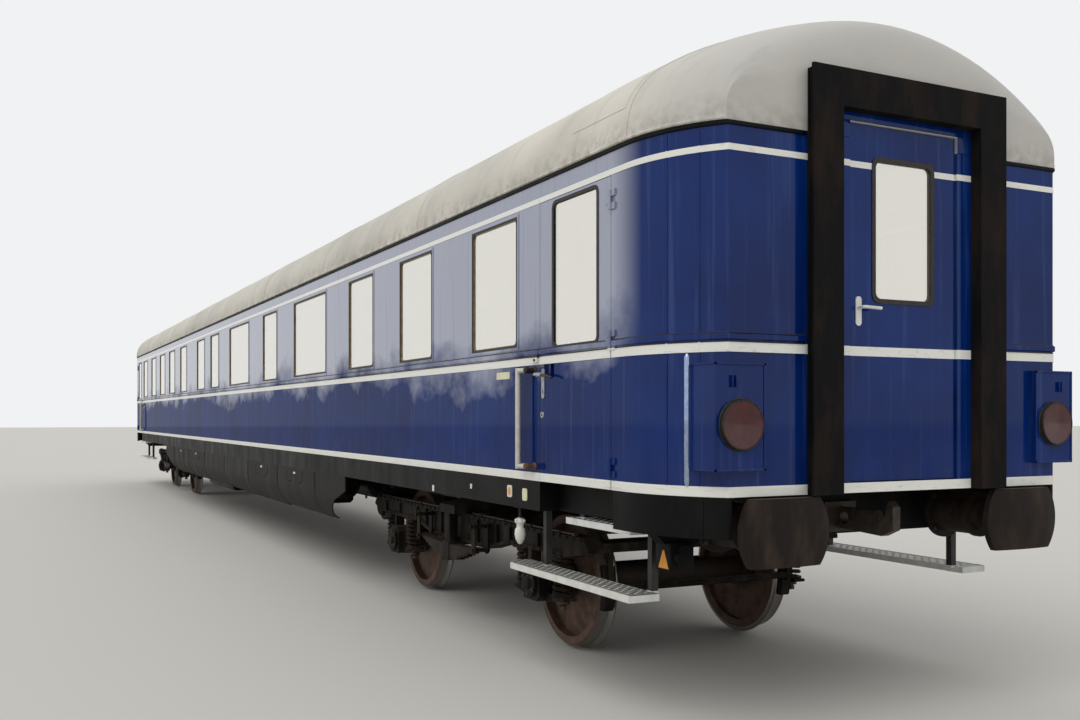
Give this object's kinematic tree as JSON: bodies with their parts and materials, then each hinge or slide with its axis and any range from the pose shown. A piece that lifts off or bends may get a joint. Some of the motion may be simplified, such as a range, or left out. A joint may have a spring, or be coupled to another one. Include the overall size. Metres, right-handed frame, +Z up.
{
  "type": "passenger coach",
  "caption": "Long bogie passenger coach with domed roof, side doors at both ends, gangways, skirts and steps.",
  "frame": {"origin": "middle of the coach at the height of the flange tips", "axes": "+X along the coach to its front end, +Y to its left, +Z up; the pictured side is -Y"},
  "size_m": [25.3452, 3.038, 4.08],
  "materials": {
    "coach_blue": "glossy blue enamel with white stripes",
    "roof_paint": "weathered light grey paint",
    "frame_black": "satin black paint",
    "skirt_black": "dusty black paint",
    "floor_lino": "lino",
    "window_metal": "anodised",
    "window_glass": "clear",
    "inner_panel": "laminate",
    "seat_cloth": "woven upholstery",
    "step_metal": "chequered plate with white edges",
    "rail_white": "white enamel",
    "buffer_steel": "greasy black",
    "forged_steel": "dark forged steel",
    "gangway_rubber": "matt",
    "lamp_red": "moulded lens",
    "wheel_steel": "rusty steel with a worn tread",
    "spring_steel": "dusty black",
    "bogie_iron": "greasy and dusty",
    "bogie_paint": "dusty black"
  },
  "bodies": {
    "coach_body": {"underframe": "frame_black", "headstocks": "frame_black", "body_bolsters": "frame_black", "floor": "floor_lino", "side_wall_right": "coach_blue", "side_wall_left": "coach_blue", "cantrails": "coach_blue", "end_wall_front": "coach_blue", "end_wall_rear": "coach_blue", "roof": "roof_paint", "roof_vents": "roof_paint", "window_frames": "window_metal", "window_glass": "window_glass", "partitions": "inner_panel", "seats": "seat_cloth", "skirt_right": "skirt_black", "skirt_left": "skirt_black", "end_skirts": "skirt_black", "steps_lower": "step_metal", "steps_upper": "step_metal", "grab_rails": "rail_white", "buffers": "buffer_steel", "draw_gear": "forged_steel", "gangway_front": "gangway_rubber", "gangway_rear": "gangway_rubber", "lamp_housings": "coach_blue", "tail_lamps": "lamp_red", "underfloor_boxes": "frame_black"},
    "side_door_front_right": {"side_door_front_right": "coach_blue", "side_door_glass_front_right": "window_glass"},
    "side_door_front_left": {"side_door_front_left": "coach_blue", "side_door_glass_front_left": "window_glass"},
    "end_door_front": {"end_door_front": "coach_blue", "end_door_glass_front": "window_glass"},
    "bogie_front": {"bogie_frame_front": "bogie_paint", "horn_guides_front": "bogie_paint", "bogie_bolster_front": "bogie_paint", "axleboxes_front": "bogie_iron", "coil_springs_front": "spring_steel", "leaf_springs_front": "spring_steel", "brake_gear_front": "bogie_iron", "generator": "bogie_paint"},
    "wheelset_front_outer": {"wheelset_front_outer": "wheel_steel"},
    "wheelset_front_inner": {"wheelset_front_inner": "wheel_steel"},
    "side_door_rear_right": {"side_door_rear_right": "coach_blue", "side_door_glass_rear_right": "window_glass"},
    "side_door_rear_left": {"side_door_rear_left": "coach_blue", "side_door_glass_rear_left": "window_glass"},
    "end_door_rear": {"end_door_rear": "coach_blue", "end_door_glass_rear": "window_glass"},
    "bogie_rear": {"bogie_frame_rear": "bogie_paint", "horn_guides_rear": "bogie_paint", "bogie_bolster_rear": "bogie_paint", "axleboxes_rear": "bogie_iron", "coil_springs_rear": "spring_steel", "leaf_springs_rear": "spring_steel", "brake_gear_rear": "bogie_iron"},
    "wheelset_rear_outer": {"wheelset_rear_outer": "wheel_steel"},
    "wheelset_rear_inner": {"wheelset_rear_inner": "wheel_steel"}
  },
  "joints": [
    {"name": "bogie_front_swivel", "type": "hinge", "parent": "coach_body", "child": "bogie_front", "pos_m": [8.63, 0, 0.99], "axis": [0, 0, 1], "range_deg": [-3.3, 3.3]},
    {"name": "wheelset_front_outer_spin", "type": "hinge", "parent": "bogie_front", "child": "wheelset_front_outer", "pos_m": [10.13, 0, 0.503], "axis": [0, 1, 0], "continuous": true},
    {"name": "wheelset_front_inner_spin", "type": "hinge", "parent": "bogie_front", "child": "wheelset_front_inner", "pos_m": [7.13, 0, 0.503], "axis": [0, 1, 0], "continuous": true},
    {"name": "side_door_front_right_hinge", "type": "hinge", "parent": "coach_body", "child": "side_door_front_right", "pos_m": [11.832, -1.452, 2.1], "axis": [0, 0, 1], "range_deg": [0, 95]},
    {"name": "side_door_front_left_hinge", "type": "hinge", "parent": "coach_body", "child": "side_door_front_left", "pos_m": [11.832, 1.452, 2.1], "axis": [0, 0, -1], "range_deg": [0, 95]},
    {"name": "end_door_front_hinge", "type": "hinge", "parent": "coach_body", "child": "end_door_front", "pos_m": [12.52561, 0.402, 2.2], "axis": [0, 0, -1], "range_deg": [0, 85]},
    {"name": "bogie_rear_swivel", "type": "hinge", "parent": "coach_body", "child": "bogie_rear", "pos_m": [-8.63, 0, 0.99], "axis": [0, 0, 1], "range_deg": [-3.3, 3.3]},
    {"name": "wheelset_rear_outer_spin", "type": "hinge", "parent": "bogie_rear", "child": "wheelset_rear_outer", "pos_m": [-10.13, 0, 0.503], "axis": [0, 1, 0], "continuous": true},
    {"name": "wheelset_rear_inner_spin", "type": "hinge", "parent": "bogie_rear", "child": "wheelset_rear_inner", "pos_m": [-7.13, 0, 0.503], "axis": [0, 1, 0], "continuous": true},
    {"name": "side_door_rear_right_hinge", "type": "hinge", "parent": "coach_body", "child": "side_door_rear_right", "pos_m": [-11.832, -1.452, 2.1], "axis": [0, 0, -1], "range_deg": [0, 95]},
    {"name": "side_door_rear_left_hinge", "type": "hinge", "parent": "coach_body", "child": "side_door_rear_left", "pos_m": [-11.832, 1.452, 2.1], "axis": [0, 0, 1], "range_deg": [0, 95]},
    {"name": "end_door_rear_hinge", "type": "hinge", "parent": "coach_body", "child": "end_door_rear", "pos_m": [-12.52561, 0.402, 2.2], "axis": [0, 0, 1], "range_deg": [0, 85]}
  ]
}
